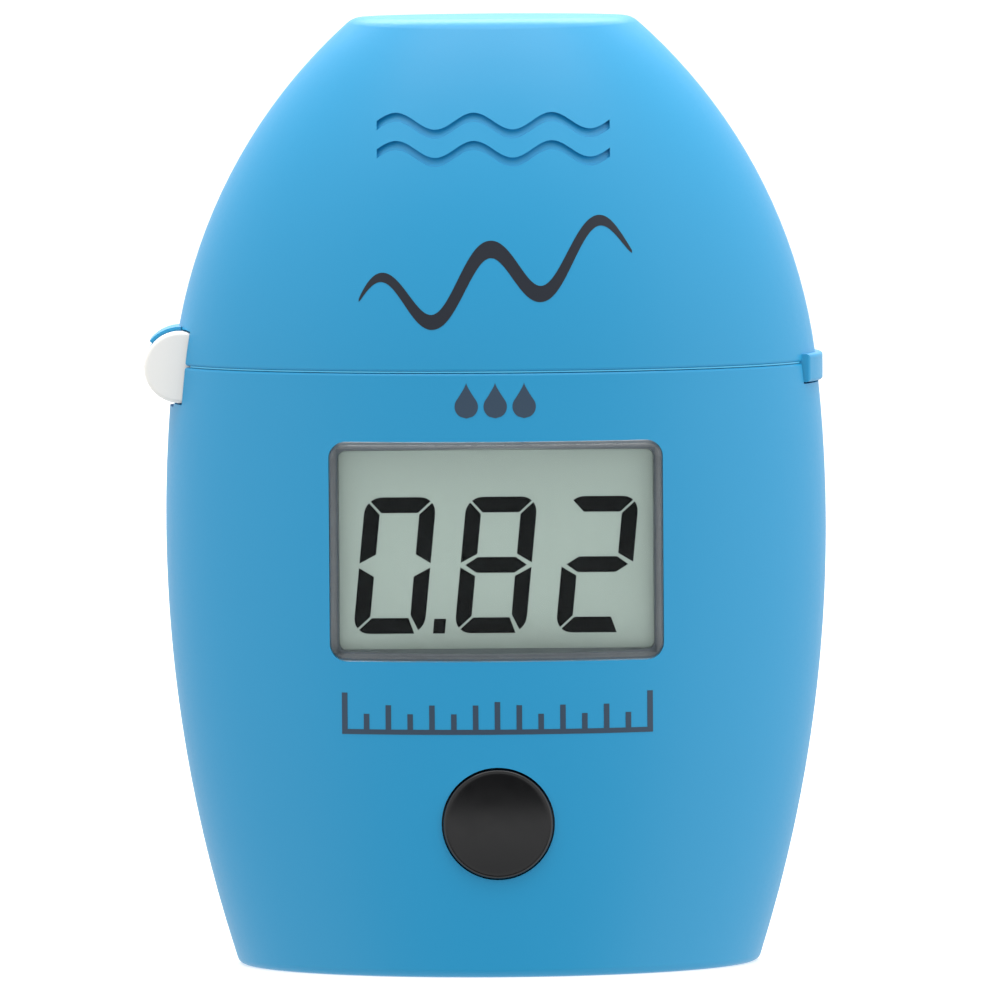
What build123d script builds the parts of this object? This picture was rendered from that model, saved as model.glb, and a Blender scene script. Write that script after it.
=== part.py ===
from build123d import *
import math
import os

# Handheld water tester: a pocket colorimeter with a hinged dome lid over its sample cuvette.
# Millimetres. Z is up, the front faces -Y, and the origin is the middle of the flat base.
# Every physical piece is a separate solid in its own node, written to parts/NODE.step.

# ---- Overall form: elliptical in plan, with two tangent arcs up each side and each face
BODY_HEIGHT = 54.75       # base to the middle of the parting line
LID_HEIGHT = 31.45        # parting line to the flat top
BODY_WIDTH = 60.1         # at the widest level
BODY_DEPTH = 37.5         # at the deepest level
WIDEST_Z = 40.2
DEEPEST_Z = 44.2
SIDE_RADIUS = 130.0       # lower arc of the side outline
FACE_RADIUS = 554.0       # lower arc of the front and rear outline
TOP_WIDTH = 25.2
TOP_DEPTH = 17.0
TOP_ROUND = 2.1
BASE_ROUND = 0.8
EDGE_ROUND = 0.25         # both lips of the parting line
PARTING_GAP = 0.14
SECTION_STEP = 7.5        # height between lofted sections

# ---- Shells
WALL = 1.8
FLOOR = 2.0
SEAM_WIDTH = 0.24
SEAM_DEPTH = 0.25
BOSS_RADIUS = 2.6
FIT = 0.05                # parts pushed together
SLIDE = 0.15              # parts that move past each other

# ---- Case screws, put in from the rear
SCREW_X = (BODY_WIDTH / 2 - 6.05, BODY_WIDTH / 2 - 6.75)   # upper and lower pairs
SCREW_Z = (46.0, 13.0)
SCREW_PLACES = [(side * x, z) for x, z in zip(SCREW_X, SCREW_Z) for side in (-1, 1)]
SCREW_SEAT_Y = BODY_DEPTH / 2 - 13.25
SCREW_RADIUS = 1.05
SCREW_REACH = 11.5
SCREW_HEAD_RADIUS = 1.9
SCREW_HEAD = 1.3

# ---- Hinge at the left of the parting line
HINGE_X = 1.45 - BODY_WIDTH / 2
HINGE_Z = BODY_HEIGHT - 0.1
KNUCKLE_RADIUS = 3.25
HOOD_PROUD = 0.35
HOOD_RADIUS = KNUCKLE_RADIUS + HOOD_PROUD
HOOD_ANGLES = (88.0, 140.0)
HINGE_HALF_LENGTH = 5.0
KNUCKLE_ROUND = 0.35      # outer rims of the chassis knuckles
LID_KNUCKLE_HALF = 2.8
PIN_RADIUS = 1.0
PIN_SPAN = (-4.4, 4.9)

# ---- Latch tab at the right
TAB_HALF_LENGTH = 5.6
TAB_PROUD = 0.6           # outside the body's plan at the parting line
TAB_THICKNESS = 1.9
TAB_Z = (BODY_HEIGHT - 1.8, BODY_HEIGHT + 0.75)
TAB_ROUND = 0.3

# ---- Deboss on the lid: two wavy lines
WAVE_LENGTH = 21.0
WAVE_COUNT = 3
WAVE_SWING = 0.75
WAVE_STROKE = 0.8
WAVE_LEVELS = (BODY_HEIGHT + 19.5, BODY_HEIGHT + 22.0)
WAVE_DEPTH = 0.4

# ---- Display
WINDOW_WIDTH = 30.0
WINDOW_Z = (28.7, 48.45)
WINDOW_CORNER = 1.5
LENS_THICKNESS = 1.2
LENS_ROUND = 0.6          # front edge of the lens
VIEW_WIDTH = WINDOW_WIDTH - 1.8
VIEW_Z = (29.6, 47.5)
VIEW_CORNER = 0.6
VIEW_SPLAY = 0.4          # the bezel's opening widens by this towards the lens
LCD_WIDTH = VIEW_WIDTH + 1.4
LCD_OVERLAP = 0.5         # glass beyond the view, above and below
LCD_FRONT_Y = -0.752 * BODY_DEPTH / 2
LCD_THICKNESS = 1.3
STRIP_THICKNESS = 0.8
STRIP_HEIGHT = 1.4

# ---- Circuit board
BOARD_WIDTH = 31.6
BOARD_Z = (8.5, 49.0)
BOARD_THICKNESS = 1.0
BOARD_SCREW_X = (BOARD_WIDTH / 2 - 1.9, BOARD_WIDTH / 2 - 3.8)   # upper and lower pairs
BOARD_SCREW_Z = (25.2, 10.8)
BOARD_SCREWS = [(side * x, z) for x, z in zip(BOARD_SCREW_X, BOARD_SCREW_Z) for side in (-1, 1)]
BOARD_SCREW_RADIUS = 0.75
BOARD_SCREW_REACH = 2.7
BOARD_SCREW_HEAD_RADIUS = 1.5
BOARD_SCREW_HEAD = 0.9
BOARD_BOSS_RADIUS = 2.2
CHIP_X = 10.6
MICROCONTROLLER = (38.0, 8.0, 8.0, 1.2)      # height up the board, width, height, thickness
AMPLIFIER = (29.5, 5.0, 4.0, 1.3)
PASSIVE_X = (-7.5, -4.5, -1.5, 1.5, 4.5, 7.5)
PASSIVE_Z = (11.5, 14.5)
PASSIVE = (2.0, 1.2, 0.6)  # width, height, thickness

# ---- Button
BUTTON_Z = 14.0
BUTTON_RADIUS = 4.95
BUTTON_PROUD = 0.25       # in front of the case
BUTTON_FLANGE = 0.9
BUTTON_FLANGE_RADIUS = BUTTON_RADIUS + 1.25
BUTTON_ROUND = 0.25
BUTTON_DISH = 0.4
BUTTON_TRAVEL = 0.5
SWITCH_SIZE = 6.0
SWITCH_HEIGHT = 1.9
PLUNGER_RADIUS = 1.7
PLUNGER_PROUD = 0.55

# ---- Sample cuvette in its well
CUVETTE_X = -7.0
WELL_TO_BOARD = 0.15      # gap between the well and the rear of the board
CUVETTE_RADIUS = 12.2
CUVETTE_GLASS = 1.2
CUVETTE_BODY = 33.0       # seat to the start of the shoulder
SHOULDER = 2.6
NECK_RADIUS = CUVETTE_RADIUS - 3.5
NECK_TOP = 8.6            # above the shoulder
CAP_RADIUS = NECK_RADIUS + 1.5
CAP_ROOF = 1.3
CAP_SKIRT_GAP = 0.4
CAP_RIBS = 36
CAP_RIB_RADIUS = 0.55
STOPPER_THICKNESS = 1.6
WELL_WALL = 0.7
WELL_CLEARANCE = 0.1
WELL_FLOOR = 1.2
WELL_DEPTH = 35.4         # deck top to the cuvette's seat
FOOT_RADIUS = CUVETTE_RADIUS - 4.2
FOOT_WALL = 1.4

# ---- Light path through the well, along X
LIGHT_Z = 32.0
LIGHT_HOLE = 1.6
LED_RADIUS = 1.5
LED_LENGTH = 3.7
LED_FLANGE = 0.8
HOLDER_HALF_HEIGHT = 4.0
HOLDER_HALF_DEPTH = 3.2
FILTER_RADIUS = 2.2
FILTER_THICKNESS = 0.6
DIODE_SIZE = 4.0
DIODE_THICKNESS = 1.1

# ---- Battery, upright behind the right side
BATTERY_X = CUVETTE_X + 21.4
BATTERY_RADIUS = 5.25
BATTERY_LENGTH = 43.6
BATTERY_NUB = (1.9, 0.9)
TUBE_CLEARANCE = 0.25
TUBE_WALL = 0.7
CONTACT_THICKNESS = 0.3

# ---- Battery cap, a coin-slot bayonet cap in the base
BAY_CAP_RADIUS = 6.6
BAY_CAP_RECESS = 0.4
BAY_BOSS_RADIUS = 5.35
BAY_BOSS_TOP = 4.2
LUG_REACH = 0.65
LUG_HEIGHT = 0.6
LUG_ANGLE = 20.0
BAY_TURN = 60.0
SEAL_THICKNESS = 0.6
COIN_SLOT = (10.0, 1.4, 0.8)

# ---- Chassis deck and foam seal under the lid
LID_SEAL = (1.4, 1.0)      # width and height
DECK_THICKNESS = 1.6
DECK_DROP = 0.35          # deck top below the parting line

# ---- Worked out from the sizes above
HEIGHT = BODY_HEIGHT + LID_HEIGHT
BODY_TOP = BODY_HEIGHT - PARTING_GAP / 2
LID_BOTTOM = BODY_HEIGHT + PARTING_GAP / 2
DECK_TOP = BODY_HEIGHT - DECK_DROP
DECK_BOTTOM = DECK_TOP - DECK_THICKNESS
REACH = BODY_DEPTH        # past either face of the case
LCD_BACK_Y = LCD_FRONT_Y + LCD_THICKNESS
BOARD_FRONT_Y = LCD_BACK_Y + STRIP_THICKNESS
BOARD_BACK_Y = BOARD_FRONT_Y + BOARD_THICKNESS
SWITCH_FRONT_Y = BOARD_FRONT_Y - SWITCH_HEIGHT
PLUNGER_FRONT_Y = SWITCH_FRONT_Y - PLUNGER_PROUD
FLANGE_BACK_Y = PLUNGER_FRONT_Y - FIT
WELL_INNER = CUVETTE_RADIUS + WELL_CLEARANCE
WELL_OUTER = WELL_INNER + WELL_WALL
CUVETTE_Y = BOARD_BACK_Y + WELL_TO_BOARD + WELL_OUTER
BATTERY_Y = CUVETTE_Y + 0.65
SEAT_Z = DECK_TOP - WELL_DEPTH
WELL_BOTTOM = SEAT_Z - WELL_FLOOR
SHOULDER_Z = SEAT_Z + FIT + CUVETTE_BODY
NECK_Z = SHOULDER_Z + SHOULDER
RIM_Z = SHOULDER_Z + NECK_TOP
CAP_BOTTOM = NECK_Z + 2 * FIT
CAP_TOP = RIM_Z + STOPPER_THICKNESS + 2 * FIT + CAP_ROOF
TUBE_INNER = BATTERY_RADIUS + TUBE_CLEARANCE
TUBE_OUTER = TUBE_INNER + TUBE_WALL
TUBE_BOTTOM = FLOOR + SEAL_THICKNESS + 2 * FIT
BATTERY_BOTTOM = BAY_BOSS_TOP + CONTACT_THICKNESS + 0.55
BATTERY_TOP = BATTERY_BOTTOM + BATTERY_LENGTH + BATTERY_NUB[1]
CONTACT_Z = BATTERY_TOP + FIT


def profile(half, level, radius, top_half):
    """The two tangent arcs of an outline, each as (centre across, centre up, radius)."""
    low = (half - radius, level, radius)
    across = low[0] + math.sqrt(radius ** 2 - (BODY_HEIGHT - level) ** 2)
    inward = Vector(low[0] - across, level - BODY_HEIGHT) / radius
    rise = Vector(top_half - across, LID_HEIGHT)
    upper = rise.dot(rise) / (2 * inward.dot(rise))
    return low, (across + upper * inward.X, BODY_HEIGHT + upper * inward.Y, upper)


SIDE = profile(BODY_WIDTH / 2, WIDEST_Z, SIDE_RADIUS, TOP_WIDTH / 2)
FACE = profile(BODY_DEPTH / 2, DEEPEST_Z, FACE_RADIUS, TOP_DEPTH / 2)


def half_size(arcs, z, inset=0.0):
    """Half width or half depth of the form at height z, set in from the surface."""
    across, level, radius = arcs[0] if z <= BODY_HEIGHT else arcs[1]
    return across + math.sqrt((radius - inset) ** 2 - (z - level) ** 2)


def form(inset, low, high):
    """The case's own shape between two heights, set in from its surface."""
    count = max(2, math.ceil((high - low) / SECTION_STEP))
    sections = []
    for i in range(count + 1):
        z = low + (high - low) * i / count
        outline = Ellipse(half_size(SIDE, z, inset), half_size(FACE, z, inset))
        sections.append(Pos(0, 0, z) * outline)
    return loft(sections)


def block(x, y, z):
    """A box between the (low, high) pairs x, y and z."""
    spans = [(pair[1] - pair[0], (pair[1] + pair[0]) / 2) for pair in (x, y, z)]
    return Pos(*[middle for _, middle in spans]) * Box(*[size for size, _ in spans])


def rod(axis, place, radius, low, high):
    """A cylinder along axis X, Y or Z; place is its position in the other two."""
    length = high - low
    middle = (low + high) / 2
    if axis == "X":
        return Pos(middle, *place) * Rot(0, 90, 0) * Cylinder(radius, length)
    if axis == "Y":
        return Pos(place[0], middle, place[1]) * Rot(90, 0, 0) * Cylinder(radius, length)
    return Pos(*place, middle) * Cylinder(radius, length)


def tube(axis, place, outer, inner, low, high):
    return rod(axis, place, outer, low, high) - rod(axis, place, inner, low, high)


def panel(width, z, corner, y):
    """A plate with rounded corners, facing the front, centred on X."""
    outline = Pos(0, (z[0] + z[1]) / 2) * RectangleRounded(width, z[1] - z[0], corner)
    return extrude(Plane.XZ.offset(-y[1]) * outline, y[1] - y[0])


def grown(pair, amount):
    return (pair[0] - amount, pair[1] + amount)


def wedge(angles, half_length):
    """A prism along Y from the hinge axis, between two angles seen from the front."""
    far = 4 * HOOD_RADIUS
    corners = [(0, 0)]
    for angle in (angles[0], sum(angles) / 2, angles[1]):
        corners.append((far * math.cos(math.radians(angle)), far * math.sin(math.radians(angle))))
    outline = make_face(Polyline(*corners, close=True))
    prism = extrude(Plane.XZ.offset(-half_length) * outline, 2 * half_length)
    return Pos(HINGE_X, 0, HINGE_Z) * prism


def hinge_rod(radius, low, high):
    return rod("Y", (HINGE_X, HINGE_Z), radius, low, high)


def hinge_room():
    """What the case leaves clear for the knuckles and for the lid's hood as it swings."""
    side = HINGE_HALF_LENGTH + SLIDE
    middle = LID_KNUCKLE_HALF + SLIDE
    return hinge_rod(KNUCKLE_RADIUS + SLIDE, -side, side) + hinge_rod(HOOD_RADIUS + SLIDE, -middle, middle)


def edges_at(solid, z):
    return [edge for edge in solid.edges() if abs(edge.center().Z - z) < 0.01]


# ---- Case
def case_shell():
    """Both halves of the body shell in one, with the screw bosses."""
    outer = form(0, 0, BODY_TOP)
    outer = fillet(edges_at(outer, BODY_TOP), EDGE_ROUND)
    outer = fillet(edges_at(outer, 0), BASE_ROUND)
    shell = outer - form(WALL, FLOOR, BODY_TOP + 1)
    for place in SCREW_PLACES:
        shell += rod("Y", place, BOSS_RADIUS, -REACH, REACH) & outer
    for place in BOARD_SCREWS:
        shell += rod("Y", place, BOARD_BOSS_RADIUS, -REACH, BOARD_FRONT_Y) & outer
    base_hole = rod("Z", (BATTERY_X, BATTERY_Y), BAY_CAP_RADIUS + SLIDE, -1, FLOOR + 1)
    latch_room = block(
        (0, BODY_WIDTH),
        (-TAB_HALF_LENGTH - SLIDE, TAB_HALF_LENGTH + SLIDE),
        (TAB_Z[0] - SLIDE, BODY_HEIGHT + 1),
    )
    seam_band = block((-BODY_WIDTH, BODY_WIDTH), (-SEAM_WIDTH / 2, SEAM_WIDTH / 2), (FLOOR, BODY_HEIGHT))
    seam = seam_band - form(SEAM_DEPTH, FLOOR - 1, BODY_HEIGHT + 1)
    return shell - base_hole - hinge_room() - latch_room - seam


def front_shell(shell):
    half = shell & block((-BODY_WIDTH, BODY_WIDTH), (-REACH, 0), (-1, HEIGHT))
    half -= panel(WINDOW_WIDTH + 2 * FIT, grown(WINDOW_Z, FIT), WINDOW_CORNER + FIT, (-REACH, LCD_FRONT_Y))
    half -= rod("Y", (0, BUTTON_Z), BUTTON_RADIUS + SLIDE, -REACH, 0)
    for place in SCREW_PLACES:
        half -= rod("Y", place, SCREW_RADIUS + FIT, SCREW_SEAT_Y - SCREW_REACH - 0.5, 1)
    for place in BOARD_SCREWS:
        half -= rod("Y", place, BOARD_SCREW_RADIUS + FIT, BOARD_BACK_Y - BOARD_SCREW_REACH - 0.3, 0)
    return half


def rear_shell(shell):
    half = shell & block((-BODY_WIDTH, BODY_WIDTH), (0, REACH), (-1, HEIGHT))
    for place in SCREW_PLACES:
        half -= rod("Y", place, SCREW_RADIUS + 2 * SLIDE, -1, SCREW_SEAT_Y)
        half -= rod("Y", place, SCREW_HEAD_RADIUS + SLIDE, SCREW_SEAT_Y, REACH)
    return half


def screw(place, seat_y, reach, radius, head_radius, head):
    """A self-tapping screw that points to the front, with a cross recess in its head."""
    body = rod("Y", place, radius, seat_y - reach, seat_y)
    body += rod("Y", place, head_radius, seat_y, seat_y + head)
    slot = (0.62 * head_radius, 0.15 * head_radius)
    for half_x, half_z in (slot, slot[::-1]):
        body -= block(
            (place[0] - half_x, place[0] + half_x),
            (seat_y + head / 2, seat_y + head + 1),
            (place[1] - half_z, place[1] + half_z),
        )
    return body


# ---- Chassis
def lug_sector(extra, low, high, start, sweep):
    """A ring sector on the battery cap's axis, out to the lugs' reach plus extra."""
    radius = BAY_BOSS_RADIUS + LUG_REACH + extra
    return Pos(BATTERY_X, BATTERY_Y, low) * Rot(0, 0, start) * Cylinder(
        radius, high - low, arc_size=sweep, align=(Align.CENTER, Align.CENTER, Align.MIN)
    )


def chassis():
    """The deck with the hinge knuckles, and the battery tube that hangs from it."""
    deck = form(WALL + 2 * FIT, DECK_BOTTOM, DECK_TOP)
    well = (CUVETTE_X, CUVETTE_Y)
    deck -= rod("Z", well, WELL_OUTER + FIT, DECK_BOTTOM - 1, DECK_TOP + 1)
    middle = LID_KNUCKLE_HALF + SLIDE
    for low, high in ((-HINGE_HALF_LENGTH, -middle), (middle, HINGE_HALF_LENGTH)):
        knuckle = hinge_rod(KNUCKLE_RADIUS, low, high)
        outer_y = low if low < -middle else high
        rim = [edge for edge in knuckle.edges() if abs(edge.center().Y - outer_y) < 0.01]
        deck += fillet(rim, KNUCKLE_ROUND)
        deck += block((HINGE_X, HINGE_X + 2 * KNUCKLE_RADIUS), (low, high), (DECK_BOTTOM, DECK_TOP))
    deck -= hinge_rod(HOOD_RADIUS + SLIDE, -middle, middle)
    deck -= hinge_rod(PIN_RADIUS + FIT / 2, PIN_SPAN[0], HINGE_HALF_LENGTH + 1)
    place = (BATTERY_X, BATTERY_Y)
    deck += rod("Z", place, TUBE_OUTER, TUBE_BOTTOM, DECK_BOTTOM)
    deck -= rod("Z", place, TUBE_INNER, TUBE_BOTTOM - 1, CONTACT_Z + CONTACT_THICKNESS + FIT)
    slot_low = BAY_BOSS_TOP - LUG_HEIGHT - 4 * FIT
    for start in (0, 180):
        sweep = BAY_TURN + LUG_ANGLE + 4
        deck -= lug_sector(2 * SLIDE, slot_low, BAY_BOSS_TOP + FIT, start - 2, sweep)
        entry = start + BAY_TURN - 2
        deck -= lug_sector(2 * SLIDE, TUBE_BOTTOM - 1, BAY_BOSS_TOP, entry, LUG_ANGLE + 4)
    tab_low = CONTACT_Z - FIT
    return deck - block(
        (BATTERY_X - 1.2, BATTERY_X + 1.2),
        (BATTERY_Y - 2 * TUBE_OUTER, BATTERY_Y),
        (tab_low, CONTACT_Z + CONTACT_THICKNESS + FIT),
    )


def cuvette_well():
    place = (CUVETTE_X, CUVETTE_Y)
    well = rod("Z", place, WELL_OUTER, WELL_BOTTOM, DECK_TOP)
    well -= rod("Z", place, WELL_INNER, SEAT_Z, DECK_TOP + 1)
    well += tube("Z", place, FOOT_RADIUS, FOOT_RADIUS - FOOT_WALL, FLOOR + FIT, WELL_BOTTOM)
    left = CUVETTE_X - 2 * WELL_OUTER
    right = CUVETTE_X + 2 * WELL_OUTER
    return well - rod("X", (CUVETTE_Y, LIGHT_Z), LIGHT_HOLE, left, right)


# ---- Display
def window_prism(grow, y):
    return panel(WINDOW_WIDTH - 2 * grow, grown(WINDOW_Z, -grow), WINDOW_CORNER, y)


def display_lens():
    low, high = grown(WINDOW_Z, 1)
    skin = form(0, low, high) - form(LENS_THICKNESS, low - 1, high + 1)
    lens = skin & window_prism(0, (-REACH, 0))
    return fillet(lens.faces().sort_by(Axis.Y)[0].edges(), LENS_ROUND)


def display_bezel():
    """A frame behind the lens whose opening narrows to the visible part of the display."""
    low, high = grown(WINDOW_Z, 1)
    core = form(LENS_THICKNESS + FIT, low, high)
    frame = core & window_prism(FIT, (-REACH, LCD_FRONT_Y - FIT))
    splay = VIEW_SPLAY
    front_y = -BODY_DEPTH / 2
    view_middle = (VIEW_Z[0] + VIEW_Z[1]) / 2
    view_height = VIEW_Z[1] - VIEW_Z[0]
    back = Pos(0, view_middle) * RectangleRounded(VIEW_WIDTH, view_height, VIEW_CORNER)
    front = Pos(0, view_middle) * RectangleRounded(
        VIEW_WIDTH + 2 * splay, view_height + 2 * splay, VIEW_CORNER + splay / 2
    )
    opening = loft([Plane.XZ.offset(-LCD_FRONT_Y) * back, Plane.XZ.offset(-front_y) * front])
    return frame - opening


def lcd_glass():
    return panel(LCD_WIDTH, grown(VIEW_Z, LCD_OVERLAP), VIEW_CORNER, (LCD_FRONT_Y, LCD_BACK_Y))


def lcd_connectors():
    strips = []
    half = LCD_WIDTH / 2 - 1
    bottom, top = grown(VIEW_Z, LCD_OVERLAP)
    for low in (bottom, top - STRIP_HEIGHT):
        strips.append(block((-half, half), (LCD_BACK_Y, BOARD_FRONT_Y), (low, low + STRIP_HEIGHT)))
    return Compound(children=strips)


# ---- Electronics
def circuit_board():
    board = panel(BOARD_WIDTH, BOARD_Z, 1.0, (BOARD_FRONT_Y, BOARD_BACK_Y))
    for place in BOARD_SCREWS:
        board -= rod("Y", place, BOARD_SCREW_RADIUS + 2 * FIT, BOARD_FRONT_Y - 1, BOARD_BACK_Y + 1)
    return board


def chip(x, z, width, height, thickness):
    """A flat component on the rear of the board."""
    return block(
        (x - width / 2, x + width / 2),
        (BOARD_BACK_Y, BOARD_BACK_Y + thickness),
        (z - height / 2, z + height / 2),
    )


def board_parts():
    """Resistors and capacitors: two rows low on the board."""
    return Compound(children=[chip(x, z, *PASSIVE) for x in PASSIVE_X for z in PASSIVE_Z])


def switch_body():
    half = SWITCH_SIZE / 2
    body = block((-half, half), (SWITCH_FRONT_Y, BOARD_FRONT_Y), (BUTTON_Z - half, BUTTON_Z + half))
    depth = BUTTON_TRAVEL + 0.9
    hole = rod("Y", (0, BUTTON_Z), PLUNGER_RADIUS + 2 * FIT, SWITCH_FRONT_Y - 1, SWITCH_FRONT_Y + depth)
    return body - hole


def switch_plunger():
    return rod("Y", (0, BUTTON_Z), PLUNGER_RADIUS, PLUNGER_FRONT_Y, SWITCH_FRONT_Y + 0.85)


def button_cap():
    place = (0, BUTTON_Z)
    flange_front = FLANGE_BACK_Y - BUTTON_FLANGE
    front_y = -half_size(FACE, BUTTON_Z) - BUTTON_PROUD
    cap = rod("Y", place, BUTTON_RADIUS, front_y, flange_front)
    front = [edge for edge in cap.edges() if abs(edge.center().Y - front_y) < 0.01]
    cap = fillet(front, BUTTON_ROUND)
    rim = BUTTON_RADIUS - BUTTON_ROUND - FIT
    ball = (rim ** 2 + BUTTON_DISH ** 2) / (2 * BUTTON_DISH)
    cap -= Pos(0, front_y + BUTTON_DISH - ball, BUTTON_Z) * Sphere(ball)
    return cap + rod("Y", place, BUTTON_FLANGE_RADIUS, flange_front, FLANGE_BACK_Y)


# ---- Light path
LEFT_X = CUVETTE_X - WELL_OUTER      # outside of the well at the lamp
RIGHT_X = CUVETTE_X + WELL_OUTER     # outside of the well at the detector
LED_TIP = LEFT_X - 0.5
LED_BACK = LED_TIP - LED_LENGTH
LIGHT_LINE = (CUVETTE_Y, LIGHT_Z)


def led_lamp():
    lamp = rod("X", LIGHT_LINE, LED_RADIUS, LED_BACK, LED_TIP - LED_RADIUS)
    lamp += Pos(LED_TIP - LED_RADIUS, *LIGHT_LINE) * Sphere(LED_RADIUS)
    return lamp + rod("X", LIGHT_LINE, LED_RADIUS + 0.4, LED_BACK - LED_FLANGE, LED_BACK)


def led_leads():
    back = LED_BACK - LED_FLANGE
    pair = [rod("X", (CUVETTE_Y + side * 1.27, LIGHT_Z), 0.25, back - 1.4, back) for side in (-1, 1)]
    return Compound(children=pair)


def holder(x, half_depth, half_height):
    """A block against the well's outside, hollowed to the well's curve."""
    body = block(x, grown((CUVETTE_Y, CUVETTE_Y), half_depth), grown((LIGHT_Z, LIGHT_Z), half_height))
    return body - rod("Z", (CUVETTE_X, CUVETTE_Y), WELL_OUTER + FIT, LIGHT_Z - 20, LIGHT_Z + 20)


def led_holder():
    back = LED_BACK - LED_FLANGE
    body = holder((back - 0.4, LEFT_X + 1), HOLDER_HALF_DEPTH, HOLDER_HALF_HEIGHT)
    body -= rod("X", LIGHT_LINE, LED_RADIUS + FIT, back - 1, LEFT_X + 2)
    return body - rod("X", LIGHT_LINE, LED_RADIUS + 0.4 + FIT, back - 1, LED_BACK)


def light_filter():
    return rod("X", LIGHT_LINE, FILTER_RADIUS, RIGHT_X + FIT, RIGHT_X + FIT + FILTER_THICKNESS)


def diode_room(grow):
    low = RIGHT_X + FIT + FILTER_THICKNESS
    half = DIODE_SIZE / 2 + grow
    across = grown((CUVETTE_Y, CUVETTE_Y), half)
    return block((low, low + DIODE_THICKNESS + grow), across, grown((LIGHT_Z, LIGHT_Z), half))


def photodiode():
    return diode_room(0)


def detector_holder():
    tube_x = BATTERY_X - TUBE_OUTER
    body = holder((RIGHT_X - 1, tube_x - SLIDE), HOLDER_HALF_DEPTH, HOLDER_HALF_HEIGHT)
    body -= rod("X", LIGHT_LINE, FILTER_RADIUS + FIT, RIGHT_X - 2, RIGHT_X + 2 * FIT + FILTER_THICKNESS)
    return body - diode_room(FIT)


# ---- Battery and its cap
def battery():
    place = (BATTERY_X, BATTERY_Y)
    top = BATTERY_BOTTOM + BATTERY_LENGTH
    can = rod("Z", place, BATTERY_RADIUS, BATTERY_BOTTOM, top)
    can = fillet(can.edges().filter_by(GeomType.CIRCLE), 0.4)
    return can + rod("Z", place, BATTERY_NUB[0], top, top + BATTERY_NUB[1])


def battery_plus_contact():
    """A disc in the top of the tube, with a strip that runs forward to the board."""
    high = CONTACT_Z + CONTACT_THICKNESS
    disc = rod("Z", (BATTERY_X, BATTERY_Y), TUBE_INNER - 2 * FIT, CONTACT_Z, high)
    strip = block((BATTERY_X - 1, BATTERY_X + 1), (BOARD_BACK_Y + 0.6, BATTERY_Y), (CONTACT_Z, high))
    return disc + strip


def battery_minus_strip():
    """A bent strip up the front of the tube and forward to the board."""
    tube_y = BATTERY_Y - TUBE_OUTER - FIT
    x = (BATTERY_X - 1, BATTERY_X + 1)
    low = TUBE_BOTTOM + 2
    high = low + 9
    rise = block(x, (tube_y - CONTACT_THICKNESS, tube_y), (low, high))
    return rise + block(x, (BOARD_BACK_Y + FIT, tube_y), (high - CONTACT_THICKNESS, high))


def battery_cap():
    place = (BATTERY_X, BATTERY_Y)
    cap = rod("Z", place, BAY_CAP_RADIUS, BAY_CAP_RECESS, FLOOR)
    lower = [edge for edge in cap.edges() if abs(edge.center().Z - BAY_CAP_RECESS) < 0.01]
    cap = fillet(lower, 0.3)
    cap += rod("Z", place, BAY_BOSS_RADIUS, FLOOR, BAY_BOSS_TOP)
    low = BAY_BOSS_TOP - LUG_HEIGHT - FIT
    for start in (0, 180):
        cap += lug_sector(0, low, BAY_BOSS_TOP - FIT, start, LUG_ANGLE)
    length, width, depth = COIN_SLOT
    slot = Pos(*place, BAY_CAP_RECESS) * Rot(0, 0, 30) * Box(length, width, 2 * depth)
    return cap - slot


def cap_seal():
    place = (BATTERY_X, BATTERY_Y)
    outer = BAY_CAP_RADIUS - 4 * FIT
    return tube("Z", place, outer, BAY_BOSS_RADIUS + FIT, FLOOR + FIT, FLOOR + FIT + SEAL_THICKNESS)


def cap_contact():
    """A stamped disc with a raised middle that touches the battery's negative end."""
    low = BAY_BOSS_TOP
    disc = rod("Z", (BATTERY_X, BATTERY_Y), BAY_BOSS_RADIUS - 0.8, low, low + CONTACT_THICKNESS)
    dome_height = BATTERY_BOTTOM - FIT - low - CONTACT_THICKNESS
    dome = Pos(BATTERY_X, BATTERY_Y, low + CONTACT_THICKNESS) * Cone(
        3.0, 1.8, dome_height, align=(Align.CENTER, Align.CENTER, Align.MIN)
    )
    return disc + dome


# ---- Cuvette
def turned(points):
    """A solid of revolution about the cuvette's axis, from (radius, height) points."""
    outline = Plane.XZ * make_face(Polyline(*points, close=True))
    return Pos(CUVETTE_X, CUVETTE_Y, 0) * revolve(outline, Axis.Z)


def cuvette_glass():
    low = SEAT_Z + FIT
    bore = NECK_RADIUS - CUVETTE_GLASS
    inner = CUVETTE_RADIUS - CUVETTE_GLASS
    points = [
        (0, low), (CUVETTE_RADIUS - 0.8, low), (CUVETTE_RADIUS, low + 0.8),
        (CUVETTE_RADIUS, SHOULDER_Z), (NECK_RADIUS, NECK_Z), (NECK_RADIUS, RIM_Z),
        (bore, RIM_Z), (bore, NECK_Z - 0.5), (inner, SHOULDER_Z - 0.5),
        (inner, low + 2.2), (inner - 1, low + 1.4), (0, low + 1.4),
    ]
    return turned(points)


def cuvette_stopper():
    bore = NECK_RADIUS - CUVETTE_GLASS
    plug = bore - FIT
    high = RIM_Z + FIT
    depth = 4.0
    points = [
        (0, high + STOPPER_THICKNESS), (NECK_RADIUS, high + STOPPER_THICKNESS), (NECK_RADIUS, high),
        (plug, high), (plug, high - depth), (plug - 1, high - depth), (plug - 1, high - 0.2), (0, high - 0.2),
    ]
    return turned(points)


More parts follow.
